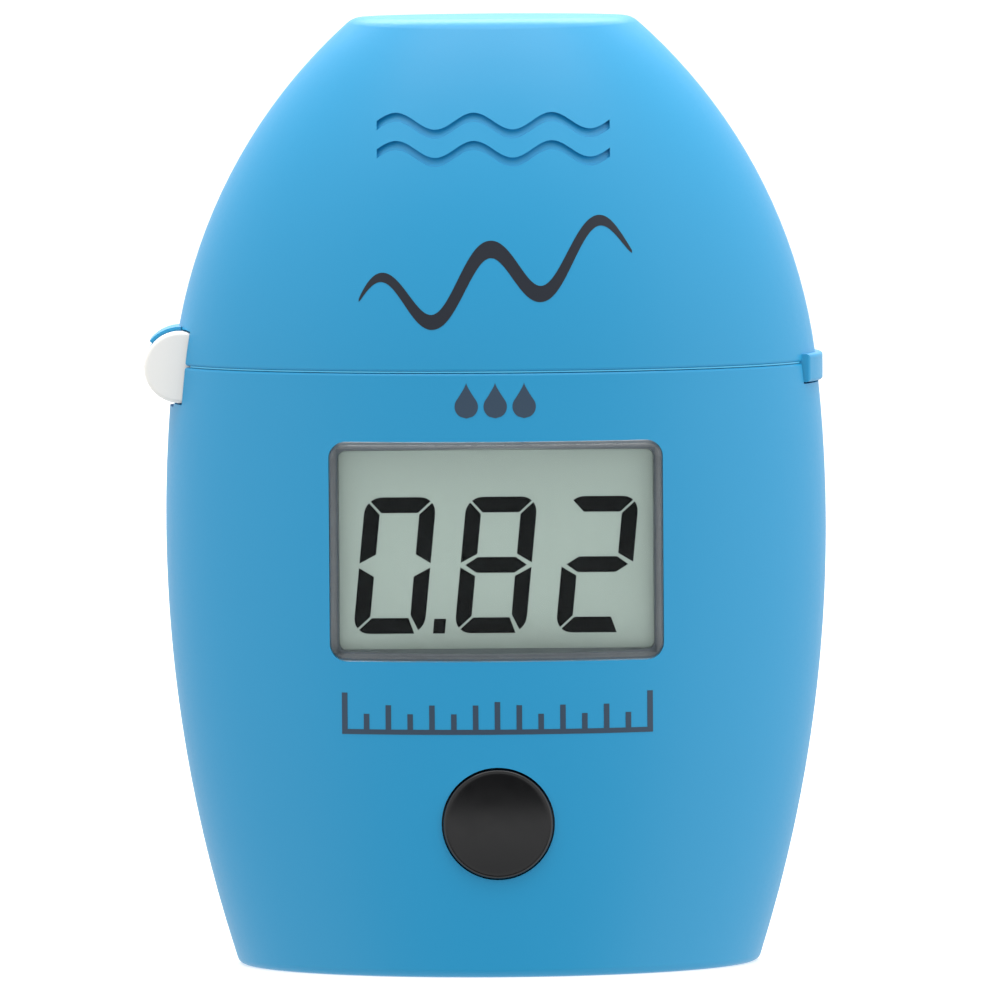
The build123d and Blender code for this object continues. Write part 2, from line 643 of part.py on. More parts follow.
def cuvette_cap():
    """A ribbed screw cap over the neck and the stopper."""
    place = (CUVETTE_X, CUVETTE_Y)
    cap = rod("Z", place, CAP_RADIUS, CAP_BOTTOM, CAP_TOP)
    cap = fillet(edges_at(cap, CAP_TOP), 0.8)
    cap -= rod("Z", place, NECK_RADIUS + CAP_SKIRT_GAP, CAP_BOTTOM - 1, RIM_Z + STOPPER_THICKNESS + 2 * FIT)
    ring = CAP_RADIUS + CAP_RIB_RADIUS / 2
    for i in range(CAP_RIBS):
        angle = math.radians(360 * i / CAP_RIBS)
        flute = (CUVETTE_X + ring * math.cos(angle), CUVETTE_Y + ring * math.sin(angle))
        cap -= rod("Z", flute, CAP_RIB_RADIUS, CAP_BOTTOM + 1.2, CAP_TOP - 1.6)
    return cap


# ---- Lid
def wave(level):
    """One wavy line as a prism along Y."""
    steps = 8 * WAVE_COUNT
    upper = []
    lower = []
    for i in range(steps + 1):
        x = WAVE_LENGTH * (i / steps - 0.5)
        z = level + WAVE_SWING * math.sin(2 * math.pi * WAVE_COUNT * i / steps)
        upper.append((x, z + WAVE_STROKE / 2))
        lower.append((x, z - WAVE_STROKE / 2))
    top = Spline(*upper)
    bottom = Spline(*lower)
    ends = [Line(upper[0], lower[0]), Line(upper[-1], lower[-1])]
    outline = make_face([top, bottom] + ends)
    return extrude(Plane.XZ * outline, REACH)


def latch_tab():
    """A lip that follows the plan of the body a little outside it, and laps over the body's edge."""
    across = half_size(SIDE, BODY_HEIGHT) + TAB_PROUD
    deep = half_size(FACE, BODY_HEIGHT) + TAB_PROUD
    height = TAB_Z[1] - TAB_Z[0]
    lip = extrude(Pos(0, 0, TAB_Z[0]) * Ellipse(across, deep), height)
    lip &= block((0, BODY_WIDTH), (-TAB_HALF_LENGTH, TAB_HALF_LENGTH), TAB_Z)
    lip = fillet(lip.faces().sort_by(Axis.X)[-1].edges(), TAB_ROUND)
    hollow = Ellipse(across - TAB_THICKNESS, deep - TAB_THICKNESS)
    return lip - extrude(Pos(0, 0, TAB_Z[0] - 1) * hollow, height + 2)


def lid_shell():
    outer = form(0, LID_BOTTOM, HEIGHT)
    outer = fillet(edges_at(outer, LID_BOTTOM), EDGE_ROUND)
    outer = fillet(edges_at(outer, HEIGHT), TOP_ROUND)
    lid = outer - form(WALL, LID_BOTTOM - 1, HEIGHT - WALL)
    lid += latch_tab()
    side = HINGE_HALF_LENGTH + SLIDE
    lid -= hinge_rod(KNUCKLE_RADIUS + SLIDE, -side, -LID_KNUCKLE_HALF)
    lid -= hinge_rod(KNUCKLE_RADIUS + SLIDE, LID_KNUCKLE_HALF, side)
    lid += hinge_rod(KNUCKLE_RADIUS, -LID_KNUCKLE_HALF, LID_KNUCKLE_HALF)
    hood = hinge_rod(HOOD_RADIUS, -LID_KNUCKLE_HALF, LID_KNUCKLE_HALF)
    lid += hood & wedge(HOOD_ANGLES, LID_KNUCKLE_HALF)
    lid -= hinge_rod(PIN_RADIUS + FIT, -HINGE_HALF_LENGTH, HINGE_HALF_LENGTH)
    floor_of_deboss = form(WAVE_DEPTH, LID_BOTTOM, HEIGHT - WAVE_DEPTH)
    for level in WAVE_LEVELS:
        lid -= wave(level) - floor_of_deboss
    return lid


def lid_seal():
    """A foam ring inside the lid's rim, open at the hinge."""
    low = LID_BOTTOM + FIT
    ring = form(WALL + 2 * FIT, low, low + LID_SEAL[1]) - form(WALL + LID_SEAL[0], low - 1, low + 2)
    open_side = HINGE_HALF_LENGTH + 2 * SLIDE
    return ring - block((-BODY_WIDTH, -BODY_WIDTH / 4), (-open_side, open_side), (low - 1, low + 2))


def hinge_pin():
    return hinge_rod(PIN_RADIUS, *PIN_SPAN)


def screws(places, *sizes):
    return Compound(children=[screw(place, *sizes) for place in places])


def main():
    shell = case_shell()
    case_sizes = (SCREW_SEAT_Y, SCREW_REACH, SCREW_RADIUS, SCREW_HEAD_RADIUS, SCREW_HEAD)
    board_sizes = (
        BOARD_BACK_Y, BOARD_SCREW_REACH, BOARD_SCREW_RADIUS, BOARD_SCREW_HEAD_RADIUS, BOARD_SCREW_HEAD
    )
    nodes = {
        "front_shell": front_shell(shell),
        "rear_shell": rear_shell(shell),
        "case_screws": screws(SCREW_PLACES, *case_sizes),
        "chassis": chassis(),
        "cuvette_well": cuvette_well(),
        "display_lens": display_lens(),
        "display_bezel": display_bezel(),
        "lcd_glass": lcd_glass(),
        "lcd_connectors": lcd_connectors(),
        "circuit_board": circuit_board(),
        "board_screws": screws(BOARD_SCREWS, *board_sizes),
        "microcontroller": chip(CHIP_X, *MICROCONTROLLER),
        "amplifier_chip": chip(CHIP_X, *AMPLIFIER),
        "board_parts": board_parts(),
        "switch_body": switch_body(),
        "switch_plunger": switch_plunger(),
        "button_cap": button_cap(),
        "led_lamp": led_lamp(),
        "led_leads": led_leads(),
        "led_holder": led_holder(),
        "light_filter": light_filter(),
        "photodiode": photodiode(),
        "detector_holder": detector_holder(),
        "battery": battery(),
        "battery_plus_contact": battery_plus_contact(),
        "battery_minus_strip": battery_minus_strip(),
        "battery_cap": battery_cap(),
        "cap_seal": cap_seal(),
        "cap_contact": cap_contact(),
        "cuvette_glass": cuvette_glass(),
        "cuvette_cap": cuvette_cap(),
        "cuvette_stopper": cuvette_stopper(),
        "lid_shell": lid_shell(),
        "lid_seal": lid_seal(),
        "hinge_pin": hinge_pin(),
    }
    os.makedirs("parts", exist_ok=True)
    for name, solid in nodes.items():
        export_step(solid, f"parts/{name}.step")


main()
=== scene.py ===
"""Looks for a pocket water tester: finishes, printed marks and fine pieces around its fixed frame."""

import math

import bmesh
import bpy
from bpy.props import FloatProperty, PointerProperty, StringProperty
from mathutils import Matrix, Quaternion, Vector
from mathutils.bvhtree import BVHTree


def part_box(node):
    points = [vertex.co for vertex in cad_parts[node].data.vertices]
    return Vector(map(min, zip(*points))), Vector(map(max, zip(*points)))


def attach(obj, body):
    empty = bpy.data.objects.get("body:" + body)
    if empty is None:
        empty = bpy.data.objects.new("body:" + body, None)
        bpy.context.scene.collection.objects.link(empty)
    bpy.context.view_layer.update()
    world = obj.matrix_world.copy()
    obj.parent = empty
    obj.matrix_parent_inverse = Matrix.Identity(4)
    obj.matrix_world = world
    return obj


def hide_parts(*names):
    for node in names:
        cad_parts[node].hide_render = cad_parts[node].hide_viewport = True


bl_info = {
    "name": "Pocket Water Tester",
    "version": (1, 0, 0),
    "blender": (4, 5, 0),
    "location": "View3D > Sidebar > Tester",
    "description": "Builds the finishes and fine pieces of a pocket water tester",
    "category": "Object",
}

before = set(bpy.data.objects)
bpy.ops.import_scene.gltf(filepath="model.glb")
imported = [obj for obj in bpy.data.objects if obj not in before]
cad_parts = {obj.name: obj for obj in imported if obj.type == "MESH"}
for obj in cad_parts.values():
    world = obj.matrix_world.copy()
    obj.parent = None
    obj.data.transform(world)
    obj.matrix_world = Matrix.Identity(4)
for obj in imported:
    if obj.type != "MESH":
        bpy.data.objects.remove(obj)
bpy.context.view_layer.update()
MM = 0.001

CASE_LOW, CASE_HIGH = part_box("front_shell")
LCD_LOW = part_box("lcd_glass")[0]
LENS_LOW, LENS_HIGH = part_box("display_lens")
BUTTON_LOW, BUTTON_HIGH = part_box("button_cap")
PARTING = CASE_HIGH.z


class TesterSizes(bpy.types.PropertyGroup):
    """Sizes that a user may change."""

    digit_height: FloatProperty(
        name="Digit Height", description="Height of a display digit", default=12.32 * MM, unit="LENGTH"
    )
    digit_width: FloatProperty(
        name="Digit Width", description="Width of a display digit, upright", default=6.4 * MM, unit="LENGTH"
    )
    digit_stroke: FloatProperty(
        name="Digit Stroke", description="Width of a digit's segments", default=1.42 * MM, unit="LENGTH"
    )
    digit_pitch: FloatProperty(
        name="Digit Pitch", description="From one digit to the next", default=9.1 * MM, unit="LENGTH"
    )
    digit_lean: FloatProperty(
        name="Digit Lean", description="Slope of the digits", default=math.radians(5.6), subtype="ANGLE"
    )
    ink_height: FloatProperty(
        name="Ink Height", description="How far a printed mark stands off the case", default=0.03 * MM,
        unit="LENGTH"
    )
    camera_distance: FloatProperty(
        name="Camera Distance", description="From the case to the camera", default=1.4, unit="LENGTH"
    )
    camera_height: FloatProperty(
        name="Camera Height", description="Camera height over the table", default=0.13, unit="LENGTH"
    )
    view_width: FloatProperty(
        name="View Width", description="Width of the picture at the case", default=91.07 * MM, unit="LENGTH"
    )
    camera_roll: FloatProperty(
        name="Camera Roll", description="Roll of the camera", default=math.radians(0.42), subtype="ANGLE"
    )


class TesterColours(bpy.types.PropertyGroup):
    """Colours that a user may change, as sRGB hex values."""

    case: StringProperty(name="Case", description="Case and lid", default="1495c8")
    knuckle: StringProperty(name="Chassis", description="White chassis and hinge", default="f8f6f1")
    button: StringProperty(name="Button", description="Push button", default="07080b")
    lcd: StringProperty(name="Display", description="Display reflector", default="a9b5ac")
    digit: StringProperty(name="Digits", description="Display segments", default="0f1112")
    print_dark: StringProperty(name="Dark Print", description="Large mark on the lid", default="0b1626")
    print_grey: StringProperty(name="Grey Print", description="Small marks on the case", default="2c4358")


# ---- Small tools
def linear(code, alpha=1.0):
    """An sRGB hex value as linear RGBA."""
    values = [int(code[i:i + 2], 16) / 255 for i in (0, 2, 4)]
    return tuple(v / 12.92 if v <= 0.04045 else ((v + 0.055) / 1.055) ** 2.4 for v in values) + (alpha,)


def add_node(tree, kind, settings=(), links=()):
    """Adds a shader node, sets its sockets or attributes, and links its inputs."""
    made = tree.nodes.new(kind)
    for key, value in dict(settings).items():
        if key in made.inputs:
            made.inputs[key].default_value = value
        else:
            setattr(made, key, value)
    for key, output in dict(links).items():
        tree.links.new(output, made.inputs[key])
    return made


def new_material(name):
    """A material with a clean Principled shader, its tree and the shader."""
    material = bpy.data.materials.new(name)
    material.use_nodes = True
    tree = material.node_tree
    tree.nodes.clear()
    shader = add_node(tree, "ShaderNodeBsdfPrincipled")
    add_node(tree, "ShaderNodeOutputMaterial", links={"Surface": shader.outputs[0]})
    return material, tree, shader


def place_in(tree):
    """Where a point lies in its own object, so that a pattern rides with a moving body."""
    return add_node(tree, "ShaderNodeTexCoord").outputs["Object"]


def relief(tree, shader, height, depth):
    """Raises the surface by depth, in metres, where a height of 0 to 1 says so."""
    bump = add_node(tree, "ShaderNodeBump", {"Strength": 1.0, "Distance": depth}, {"Height": height})
    tree.links.new(bump.outputs["Normal"], shader.inputs["Normal"])


def grain(tree, shader, size, depth, detail=2.0):
    """Fine surface relief: size is the grain and depth its height, in metres."""
    noise = add_node(
        tree, "ShaderNodeTexNoise", {"Scale": 1 / size, "Detail": detail}, {"Vector": place_in(tree)}
    )
    relief(tree, shader, noise.outputs["Fac"], depth)
    return noise


def vary(tree, source, low, high):
    """Maps a 0 to 1 factor onto a narrow range."""
    return add_node(
        tree, "ShaderNodeMapRange", {"From Min": 0.3, "From Max": 0.7, "To Min": low, "To Max": high},
        {"Value": source}
    ).outputs["Result"]


def shine(tree, shader, source, low, high):
    """Lets the roughness wander between two values with a pattern."""
    tree.links.new(vary(tree, source, low, high), shader.inputs["Roughness"])


def two_tone(tree, factor, first, second):
    """A colour that moves between two others."""
    mix = add_node(tree, "ShaderNodeMix", {"data_type": "RGBA"})
    tree.links.new(factor, mix.inputs[0])
    mix.inputs[6].default_value = first
    mix.inputs[7].default_value = second
    return mix.outputs[2]


# ---- Finishes
def moulded_abs(name, code, roughness, spread=0.03):
    """Injection-moulded ABS from a satin tool: an even colour, a soft sheen and a very fine grain."""
    material, tree, shader = new_material(name)
    shader.inputs["IOR"].default_value = 1.53
    fine = grain(tree, shader, 0.35 * MM, 0.0012 * MM)
    broad = add_node(
        tree, "ShaderNodeTexNoise", {"Scale": 1 / (18 * MM), "Detail": 2.0}, {"Vector": place_in(tree)}
    ).outputs["Fac"]
    shade = [linear(code), tuple(v * (1 - spread) for v in linear(code)[:3]) + (1,)]
    tree.links.new(two_tone(tree, broad, *shade), shader.inputs["Base Color"])
    shine(tree, shader, fine.outputs["Fac"], roughness - 0.02, roughness + 0.02)
    return material


def polished_abs(name, code, roughness):
    """ABS from a polished tool: glossy, with faint long waves from moulding."""
    material, tree, shader = new_material(name)
    shader.inputs["Base Color"].default_value = linear(code)
    shader.inputs["IOR"].default_value = 1.53
    waves = grain(tree, shader, 1.6 * MM, 0.003 * MM)
    shine(tree, shader, waves.outputs["Fac"], roughness, roughness + 0.05)
    return material


def reckon(tree, operation, first, second=0.0):
    """A maths node on sockets or numbers."""
    made = add_node(tree, "ShaderNodeMath", {"operation": operation})
    for socket, value in zip(made.inputs, (first, second)):
        if isinstance(value, float):
            socket.default_value = value
        else:
            tree.links.new(value, socket)
    return made.outputs[0]


def clear_acrylic(name, low, high, bevel):
    """Polished clear acrylic: a coating keeps reflections off its face, and the rounded edge shines."""
    material, tree, shader = new_material(name)
    shader.inputs["Base Color"].default_value = linear("f6fafa")
    place = add_node(tree, "ShaderNodeSeparateXYZ", links={"Vector": place_in(tree)})
    coated = 1.0
    for axis in (0, 2):
        middle, half = (low[axis] + high[axis]) / 2, (high[axis] - low[axis]) / 2 - bevel
        away = reckon(tree, "ABSOLUTE", reckon(tree, "SUBTRACT", place.outputs[axis], middle))
        coated = reckon(tree, "MINIMUM", reckon(tree, "LESS_THAN", away, half), coated)
    bare, face = 1.49, 1.14
    index = reckon(tree, "SUBTRACT", bare, reckon(tree, "MULTIPLY", coated, bare - face))
    tree.links.new(index, shader.inputs["IOR"])
    shader.inputs["Transmission Weight"].default_value = 1.0
    haze = grain(tree, shader, 3.0 * MM, 0.0004 * MM)
    shine(tree, shader, haze.outputs["Fac"], 0.0, 0.03)
    return material


def lab_glass(name):
    """Borosilicate glass: clear, with a faint unevenness from drawing."""
    material, tree, shader = new_material(name)
    shader.inputs["Base Color"].default_value = linear("f4f9f8")
    shader.inputs["IOR"].default_value = 1.47
    shader.inputs["Transmission Weight"].default_value = 1.0
    waves = grain(tree, shader, 6.0 * MM, 0.002 * MM)
    shine(tree, shader, waves.outputs["Fac"], 0.0, 0.02)
    return material


def display_cell(name, code):
    """A reflective liquid crystal cell: grey-green, with the faint upright brushing of its foil."""
    material, tree, shader = new_material(name)
    shader.inputs["IOR"].default_value = 1.5
    shader.inputs["Roughness"].default_value = 0.35
    stretch = add_node(
        tree, "ShaderNodeMapping", {"Scale": (1 / (0.5 * MM), 1 / (1 * MM), 1 / (12 * MM))},
        {"Vector": place_in(tree)}
    )
    streaks = add_node(
        tree, "ShaderNodeTexNoise", {"Scale": 1.0, "Detail": 3.0}, {"Vector": stretch.outputs[0]}
    )
    base = linear(code)
    tones = [tuple(v * f for v in base[:3]) + (1,) for f in (0.97, 1.03)]
    tree.links.new(two_tone(tree, streaks.outputs["Fac"], *tones), shader.inputs["Base Color"])
    return material


def dark_segment(code):
    """A dark liquid crystal segment: it absorbs behind its polariser, so it has no sheen of its own."""
    material, tree, shader = new_material("Liquid crystal segment")
    shader.inputs["Base Color"].default_value = linear(code)
    shader.inputs["Specular IOR Level"].default_value = 0.0
    grain(tree, shader, 0.3 * MM, 0.0005 * MM)
    return material


def ink(name, code):
    """Screen-printed ink: dense and slightly silky, with a tiny orange peel."""
    material, tree, shader = new_material(name)
    shader.inputs["Base Color"].default_value = linear(code)
    shader.inputs["Roughness"].default_value = 0.45
    grain(tree, shader, 0.2 * MM, 0.001 * MM)
    return material


def sprung_metal(name, code, roughness):
    """Rolled and plated steel: bright, with fine rolling lines along X."""
    material, tree, shader = new_material(name)
    shader.inputs["Base Color"].default_value = linear(code)
    shader.inputs["Metallic"].default_value = 1.0
    stretch = add_node(
        tree, "ShaderNodeMapping", {"Scale": (1 / (2 * MM), 1 / (0.08 * MM), 1 / (0.08 * MM))},
        {"Vector": place_in(tree)}
    )
    lines = add_node(
        tree, "ShaderNodeTexNoise", {"Scale": 1.0, "Detail": 2.0}, {"Vector": stretch.outputs[0]}
    )
    shine(tree, shader, lines.outputs["Fac"], roughness - 0.06, roughness + 0.06)
    relief(tree, shader, lines.outputs["Fac"], 0.002 * MM)
    return material


def soft_rubber(name, code, cell=0.3):
    """Foam or rubber: dull, with small open cells."""
    material, tree, shader = new_material(name)
    shader.inputs["Roughness"].default_value = 0.85
    cells = add_node(tree, "ShaderNodeTexVoronoi", {"Scale": 1 / (cell * MM)}, {"Vector": place_in(tree)})
    tones = [linear(code), tuple(min(1, v * 1.8 + 0.01) for v in linear(code)[:3]) + (1,)]
    tree.links.new(two_tone(tree, cells.outputs["Distance"], *tones), shader.inputs["Base Color"])
    relief(tree, shader, cells.outputs["Distance"], 0.05 * MM)
    return material


def solder_mask(name):
    """Green solder mask over glass epoxy: glossy, with faint raised tracks."""
    material, tree, shader = new_material(name)
    shader.inputs["Roughness"].default_value = 0.3
    tracks = add_node(
        tree, "ShaderNodeTexBrick",
        {"Scale": 1.0, "Brick Width": 0.0042, "Row Height": 0.0016, "Mortar Size": 0.00018, "Bias": 0.0}
    )
    upright = (math.radians(90), 0, 0)
    turned = add_node(tree, "ShaderNodeMapping", {"Rotation": upright}, {"Vector": place_in(tree)})
    tree.links.new(turned.outputs[0], tracks.inputs["Vector"])
    tones = [linear("0c4f2a"), linear("1c7a45")]
    tree.links.new(two_tone(tree, tracks.outputs["Fac"], *tones), shader.inputs["Base Color"])
    relief(tree, shader, tracks.outputs["Fac"], 0.03 * MM)
    return material


def battery_film(name, low, high):
    """A printed film shrunk over the cell: dark with a copper-coloured band at the top."""
    material, tree, shader = new_material(name)
    shader.inputs["Roughness"].default_value = 0.28
    shader.inputs["Metallic"].default_value = 0.6
    height = add_node(tree, "ShaderNodeSeparateXYZ", links={"Vector": place_in(tree)}).outputs["Z"]
    band = add_node(
        tree, "ShaderNodeMapRange",
        {"From Min": low + 0.72 * (high - low), "From Max": low + 0.722 * (high - low)}, {"Value": height}
    )
    tones = [linear("15171c"), linear("b4713c")]
    tree.links.new(two_tone(tree, band.outputs["Result"], *tones), shader.inputs["Base Color"])
    grain(tree, shader, 2.0 * MM, 0.004 * MM)
    return material


# ---- Pieces
def dress(name, material):
    """Gives a CAD node its finish."""
    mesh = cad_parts[name].data
    mesh.materials.clear()
    mesh.materials.append(material)


def piece(name, verts, faces, material, body, smooth=True):
    """A mesh piece that rides on a body."""
    mesh = bpy.data.meshes.new(name)
    mesh.from_pydata(verts, [], faces)
    clean = bmesh.new()
    clean.from_mesh(mesh)
    bmesh.ops.remove_doubles(clean, verts=clean.verts, dist=0.0002 * MM)
    bmesh.ops.recalc_face_normals(clean, faces=clean.faces)
    clean.to_mesh(mesh)
    clean.free()
    mesh.materials.append(material)
    if smooth:
        mesh.shade_smooth()
        mesh.set_sharp_from_angle(angle=math.radians(35))
    made = bpy.data.objects.new(name, mesh)
    bpy.context.scene.collection.objects.link(made)
    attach(made, body)
    return made


def surface_of(name):
    """A search tree over a CAD node's faces."""
    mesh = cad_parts[name].data
    return BVHTree.FromPolygons([v.co for v in mesh.vertices], [p.vertices for p in mesh.polygons])


def front_of(surface, x, z):
    """The point and the unit normal where a line from the front first meets a surface."""
    spot, normal, _, _ = surface.ray_cast(Vector((x, -1, z)), Vector((0, 1, 0)))
    if spot is None:
        raise RuntimeError(f"nothing lies behind {x:.4f}, {z:.4f}")
    return spot, normal


def printed(name, shapes, target, material, body):
    """Ink on the curved front: shapes are strips, each a list of point pairs in X and Z across the stroke."""
    lift = bpy.context.scene.tester_sizes.ink_height
    surface = surface_of(target)
    verts = []
    faces = []
    for strip in shapes:
        start = len(verts)
        for pair in strip:
            for x, z in pair:
                spot, normal = front_of(surface, x, z)
                verts.append(spot + normal * lift if normal.y < 0 else spot - normal * lift)
        for i in range(len(strip) - 1):
            a = start + 2 * i
            faces.append((a, a + 1, a + 3, a + 2))
    return piece(name, verts, faces, material, body)


def arc(centre, radius, start, stop, steps):
    """Points on an arc, in degrees, in the plane of a shape."""
    points = []
    for i in range(steps + 1):
        angle = math.radians(start + (stop - start) * i / steps)
        points.append((centre[0] + radius * math.cos(angle), centre[1] + radius * math.sin(angle)))
    return points


def seven_segments(digit, size):
    """The outlines of a digit's lit segments, upright, from the digit's lower left corner."""
    width, height, stroke = size.digit_width, size.digit_height, size.digit_stroke
    gap = 0.14 * stroke
    corner = 1.05 * stroke
    middle = height / 2
    slope = 0.57 * stroke
    inner = stroke + 0.7 * gap
    split = math.degrees(gap / 2 / corner)
    centre = (corner, height - corner)
    top_left = arc(centre, corner, 135 - split, 90, 5)
    top = top_left + [(width - x, z) for x, z in reversed(top_left)]
    top += [(width - inner, height - stroke), (inner, height - stroke)]
    upper_left = arc(centre, corner, 135 + split, 180, 5)
    upper_left += [(0, middle + gap), (stroke, middle + gap + slope), (stroke, height - inner)]
    upper_right = [(width - x, z) for x, z in upper_left]
    tip = 0.3 * stroke
    shoulder = tip + 0.75 * stroke
    bar_half = stroke / 2
    centre_bar = [
        (tip, middle), (shoulder, middle + bar_half), (width - shoulder, middle + bar_half),
        (width - tip, middle), (width - shoulder, middle - bar_half), (shoulder, middle - bar_half),
    ]
    lower_left = [(x, height - z) for x, z in upper_left]
    bottom = [(x, height - z) for x, z in top_left]
    bottom += [(width - 0.63 * stroke, 0), (width - 1.09 * stroke, stroke), (inner, stroke)]
    lower_right = [(width, middle - gap)] + arc((width - corner, corner), corner, 0, -52, 6)
    lower_right += [(width - 0.98 * stroke, 1.18 * stroke), (width - stroke, middle - gap - slope)]
    lit = {
        "0": (top, upper_left, upper_right, lower_left, lower_right, bottom),
        "8": (top, upper_left, upper_right, centre_bar, lower_left, lower_right, bottom),
        "2": (top, upper_right, centre_bar, lower_left, bottom),
    }
    return lit[digit]


def lathe(profile, centre, steps):
    """A turned surface along Y: profile is (radius, y) pairs, closed at radius 0."""
    verts = []
    faces = []
    count = len(profile)
    for i in range(steps):
        angle = 2 * math.pi * i / steps
        c, s = math.cos(angle), math.sin(angle)
        verts += [(centre[0] + radius * c, y, centre[1] + radius * s) for radius, y in profile]
        for j in range(count - 1):
            a = i * count + j
            b = ((i + 1) % steps) * count + j
            faces.append((a, b, b + 1, a + 1))
    return verts, faces


def lip(name, side, material):
    """A thin moulded lip under the lid's rim, from hinge to latch, that nearly fills the parting gap."""
    surface = surface_of("lid_shell")
    inset, thickness = 0.04 * MM, 0.6 * MM
    low, high = PARTING + 0.04 * MM, PARTING + 0.16 * MM
    level = PARTING + 0.7 * MM
    deep = abs(front_of(surface, 0, level)[0].y)
    spot = front_of(surface, 20 * MM, level)[0]
    wide = spot.x / math.sqrt(1 - (spot.y / deep) ** 2)
    end_clear = 5.9 * MM
    reach = math.asin(end_clear / deep)
    verts = []
    steps = 96
    for i in range(steps + 1):
        angle = reach + (math.pi - 2 * reach) * i / steps
        for depth in (inset, inset + thickness):
            x, y = (wide - depth) * math.cos(angle), side * (deep - depth) * math.sin(angle)
            verts += [(x, y, low), (x, y, high)]
    faces = [(0, 1, 3, 2), tuple(4 * steps + k for k in (0, 2, 3, 1))]
    for i in range(steps):
        a, b = 4 * i, 4 * i + 4
        for j, k in ((0, 1), (1, 3), (3, 2), (2, 0)):
            faces.append((a + j, a + k, b + k, b + j))
    return piece(name, verts, faces, material, "lid")


class TESTER_OT_case(bpy.types.Operator):
    """Finish the case halves, the lid and their screws"""

    bl_idname = "tester.case"
    bl_label = "Case"

    def execute(self, context):
        colours = context.scene.tester_colours
        blue = moulded_abs("Satin moulded ABS, blue", colours.case, 0.42)
        for name in ("front_shell", "rear_shell", "lid_shell"):
            dress(name, blue)
        # The lip's paler blue (4fbce6 against the case's 1495c8) is a painted highlight that stands in for
        # the light catch line along the parting.
        painted_highlight_blue = moulded_abs("Lid lip, painted highlight", "4fbce6", 0.3)
        lip("lid_lip_front", -1, painted_highlight_blue)
        lip("lid_lip_rear", 1, painted_highlight_blue)
        steel = sprung_metal("Zinc-plated steel", "b9bdc0", 0.3)
        dress("case_screws", steel)
        dress("board_screws", steel)
        return {"FINISHED"}


class TESTER_OT_chassis(bpy.types.Operator):
    """Finish the chassis with its hinge, the pin and the seals"""

    bl_idname = "tester.chassis"
    bl_label = "Chassis"

    def execute(self, context):
        colours = context.scene.tester_colours
        dress("chassis", moulded_abs("Satin moulded ABS, white", colours.knuckle, 0.4, 0.015))
        dress("hinge_pin", sprung_metal("Nickel-plated steel", "c9c8c2", 0.2))
        dress("lid_seal", soft_rubber("Closed-cell foam", "141416"))
        dress("cap_seal", soft_rubber("Nitrile rubber", "101012", 0.12))
        black = moulded_abs("Matt moulded ABS, black", "16171a", 0.5)
        for name in ("cuvette_well", "led_holder", "detector_holder", "battery_cap"):
            dress(name, black)
        return {"FINISHED"}


class TESTER_OT_display(bpy.types.Operator):
    """Build the display: lens, bezel, cell and digits"""

    bl_idname = "tester.display"
    bl_label = "Display"

    def execute(self, context):
        size = context.scene.tester_sizes
        colours = context.scene.tester_colours
        bevel = 0.62 * MM
        dress("display_lens", clear_acrylic("Coated clear acrylic", LENS_LOW, LENS_HIGH, bevel))
        dress("display_bezel", moulded_abs("Satin moulded ABS, grey", "50575e", 0.35))
        dress("lcd_glass", display_cell("Liquid crystal cell", colours.lcd))
        dress("lcd_connectors", soft_rubber("Conductive rubber", "2a2a2a", 0.08))
        shear = math.tan(size.digit_lean)
        low = LENS_LOW.z + 2.28 * MM
        left = -12.93 * MM
        y = LCD_LOW.y - 0.02 * MM
        verts = []
        faces = []
        outlines = []
        for i, digit in enumerate("082"):
            for outline in seven_segments(digit, size):
                outlines.append([(x + left + i * size.digit_pitch, z) for x, z in outline])
        dot = 1.07 * MM
        dot_x = left + size.digit_width + 0.78 * MM
        outlines.append([(dot_x, 0), (dot_x + dot, 0), (dot_x + dot, 1.24 * dot), (dot_x, 1.24 * dot)])
        for outline in outlines:
            start = len(verts)
            verts += [(x + shear * z, y, low + z) for x, z in outline]
            faces.append(tuple(range(start, len(verts))))
        piece("lcd_digits", verts, faces, dark_segment(colours.digit), "case", False)
        return {"FINISHED"}


class TESTER_OT_marks(bpy.types.Operator):
    """Print the marks on the lid and the case"""

    bl_idname = "tester.marks"
    bl_label = "Printed Marks"

    def execute(self, context):
        colours = context.scene.tester_colours
        dark = ink("Screen ink, dark", colours.print_dark)
        grey = ink("Screen ink, grey", colours.print_grey)
        printed("wave_mark", [brush_wave()], "lid_shell", dark, "lid")
        drops = [droplet(x * MM, PARTING - 3.0 * MM, 1.05 * MM) for x in (-2.6, 0.0, 2.6)]
        printed("unit_mark", drops, "front_shell", grey, "case")
        printed("scale_mark", scale_bars(), "front_shell", grey, "case")
        return {"FINISHED"}


def brush_wave():
    """A calligraphic wave that climbs to the right."""
    left, length = -12.2 * MM, 24.6 * MM
    level = PARTING + 8.6 * MM
    climb, swing = 6.2 * MM, 2.6 * MM
    phase = 5 * math.pi
    thin, thick = 0.25 * MM, 1.3 * MM
    steps = 120
    strip = []
    for i in range(steps + 1):
        t = i / steps
        x = left + length * t
        z = level + climb * (t - 0.5) + swing * math.sin(phase * t + 0.4)
        slope = (climb + swing * phase * math.cos(phase * t + 0.4)) / length
        width = thin + thick * math.sin(math.pi * t) ** 0.6 * math.sqrt(1 + 0.45 * slope ** 2)
        strip.append(((x, z - width / 2), (x, z + width / 2)))
    return strip


def droplet(x, z, radius):
    """A drop with a pointed top."""
    strip = []
    steps = 20
    for i in range(steps + 1):
        t = i / steps
        height = -radius + 3.0 * radius * t
        if height <= 0.5 * radius:
            half = math.sqrt(max(0.0, radius ** 2 - height ** 2))
        else:
            half = radius * 0.866 * ((2.0 * radius - height) / (1.5 * radius)) ** 1.2
        half = max(half, 0.01 * MM)
        strip.append(((x - half, z + height), (x + half, z + height)))
    return strip


